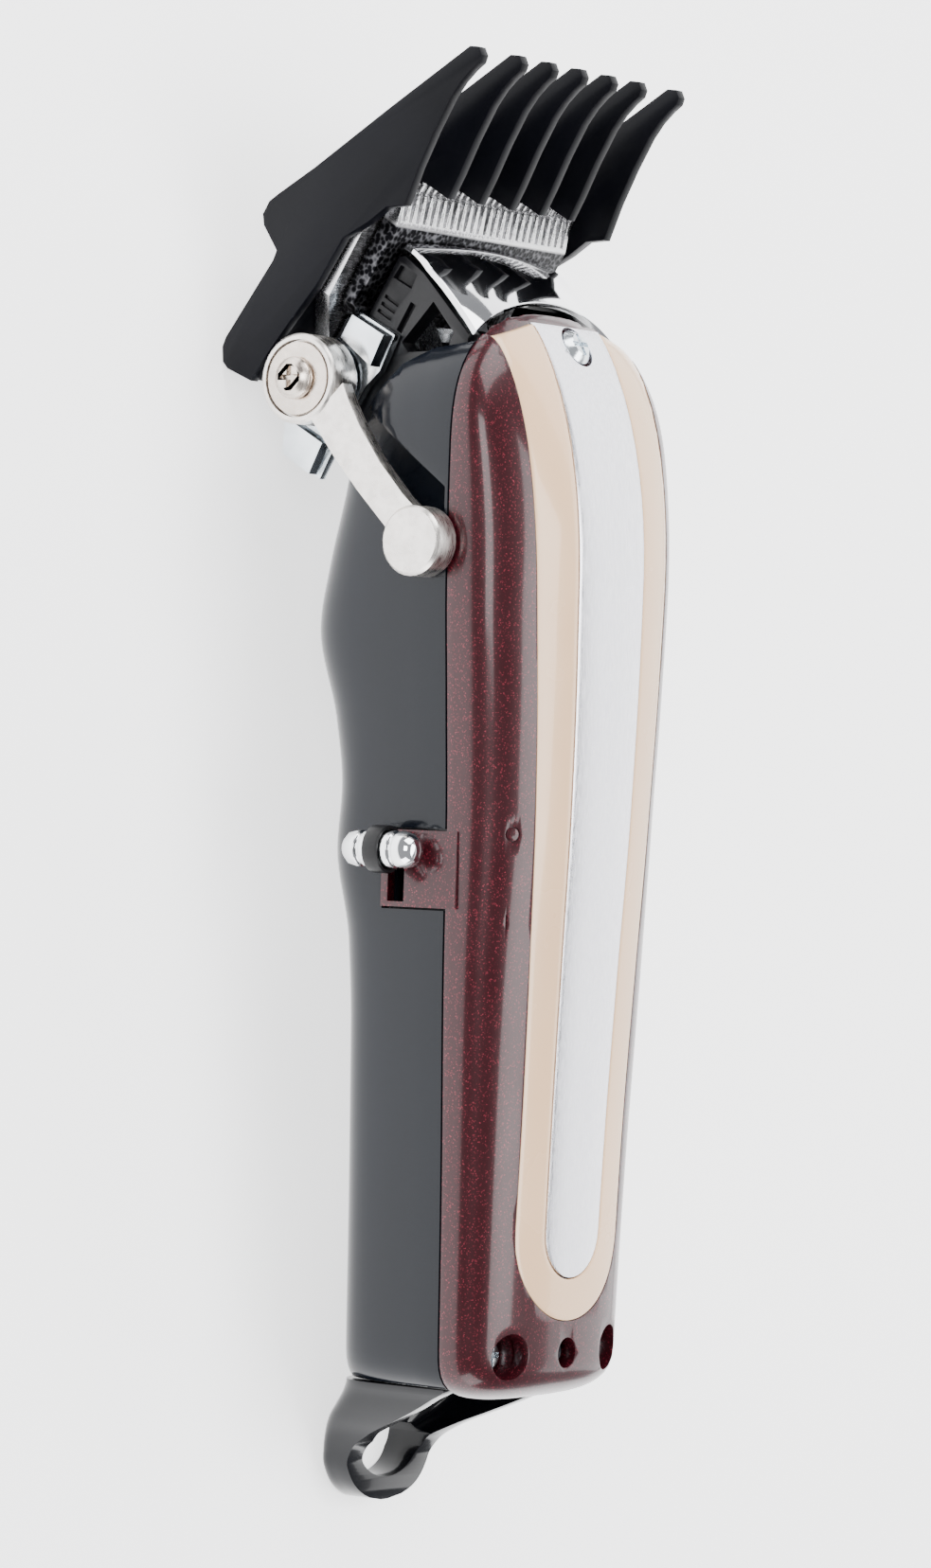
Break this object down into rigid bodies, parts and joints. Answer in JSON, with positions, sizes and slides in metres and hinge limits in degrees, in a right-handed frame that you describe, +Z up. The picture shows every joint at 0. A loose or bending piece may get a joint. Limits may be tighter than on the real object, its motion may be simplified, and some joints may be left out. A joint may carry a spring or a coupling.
{
  "type": "hair clipper",
  "caption": "Cordless hair clipper with a taper lever, a fitted guide comb, a thumb switch and a hanging loop, lying on its back.",
  "frame": {"origin": "middle of the footprint, on the surface that the clipper lies on", "axes": "-Y towards the blades, +Y towards the hanging loop, +X on the taper lever side, +Z up through the lid"},
  "size_m": [0.053, 0.1958, 0.047],
  "materials": {
    "lid_gloss": "deep burgundy metal-flake gloss",
    "band_gold": "pale gold gloss",
    "strip_silver": "bright silver with a faint satin grain",
    "housing_gloss": "dark slate gloss",
    "loop_gloss": "black gloss",
    "bright_chrome": "mirror chrome",
    "black_plastic": "black moulded plastic",
    "comb_plastic": "near-black moulded plastic with a soft sheen",
    "blade_steel": "ground blade steel",
    "spring_steel": "bright spring steel",
    "zinc_plate": "bright zinc plate",
    "zinc_screw": "zinc-plated screw",
    "satin_nickel": "satin nickel",
    "brass_bush": "machined brass",
    "grey_plastic": "grey engineering plastic",
    "motor_steel": "plated motor can",
    "cell_wrap": "shrink wrap over a lithium cell",
    "board_green": "solder-masked circuit board",
    "light_pipe": "clear light pipe"
  },
  "bodies": {
    "housing": {"bottom_housing": "housing_gloss", "lid": "lid_gloss", "lid_band": "band_gold", "lid_strip": "strip_silver", "hanging_loop": "loop_gloss", "nose_cover": "bright_chrome", "nose_frame": "black_plastic", "cutter_spring": "spring_steel", "lever_plate": "zinc_plate", "drive_pivot_pin": "spring_steel", "lid_nose_screw": "zinc_screw", "lid_tail_screw_left": "zinc_screw", "lid_tail_screw_right": "zinc_screw", "motor_can": "motor_steel", "motor_end_cap": "black_plastic", "motor_cradle": "black_plastic", "li_ion_cell": "cell_wrap", "circuit_board": "board_green", "slide_switch": "black_plastic", "charging_socket": "black_plastic", "charge_light_pipe": "light_pipe"},
    "motor_rotor": {"motor_shaft": "spring_steel", "motor_crank": "brass_bush"},
    "drive_lever": {"drive_lever": "grey_plastic"},
    "cutter": {"cutter": "blade_steel"},
    "blade_carriage": {"blade_carriage": "zinc_plate", "fixed_blade": "blade_steel", "blade_screw_left": "zinc_screw", "blade_screw_right": "zinc_screw"},
    "guide_comb": {"guide_comb": "comb_plastic"},
    "taper_lever": {"taper_lever": "satin_nickel", "lever_washer": "satin_nickel", "lever_screw": "satin_nickel", "lever_cam": "brass_bush", "lever_spring_washer": "spring_steel"},
    "power_switch": {"switch_barrel": "bright_chrome", "switch_carrier": "black_plastic"}
  },
  "joints": [
    {"name": "motor_spin", "type": "hinge", "parent": "housing", "child": "motor_rotor", "pos_m": [-0.00152, -0.02697, 0.02844], "axis": [0, -0.9973, 0.0737], "continuous": true},
    {"name": "drive_rock", "type": "hinge", "parent": "housing", "child": "drive_lever", "pos_m": [-0.00152, -0.05469, 0.02647], "axis": [0, -0.1761, 0.9844], "range_deg": [-4.4, 4.4]},
    {"name": "cutter_stroke", "type": "slide", "parent": "housing", "child": "cutter", "axis": [1, 0, 0], "range_m": [-0.00125, 0.00125]},
    {"name": "taper_lever_turn", "type": "hinge", "parent": "housing", "child": "taper_lever", "pos_m": [-0.00152, -0.0559, 0.01335], "axis": [-1, 0, 0], "range_deg": [0, 40]},
    {"name": "blade_adjust", "type": "slide", "parent": "housing", "child": "blade_carriage", "axis": [0, -0.8169, 0.5768], "range_m": [0, 0.00138]},
    {"name": "comb_pull_off", "type": "slide", "parent": "blade_carriage", "child": "guide_comb", "axis": [0, -0.5768, -0.8169], "range_m": [0, 0.04]},
    {"name": "power_switch_slide", "type": "slide", "parent": "housing", "child": "power_switch", "axis": [0, 0.9973, -0.0737], "range_m": [0, 0.005]}
  ],
  "couplings": [
    {"joint": "drive_rock", "follows": "cutter_stroke", "rad_per_m": 60.46},
    {"joint": "blade_adjust", "follows": "taper_lever_turn", "m_per_rad": 0.00196}
  ]
}
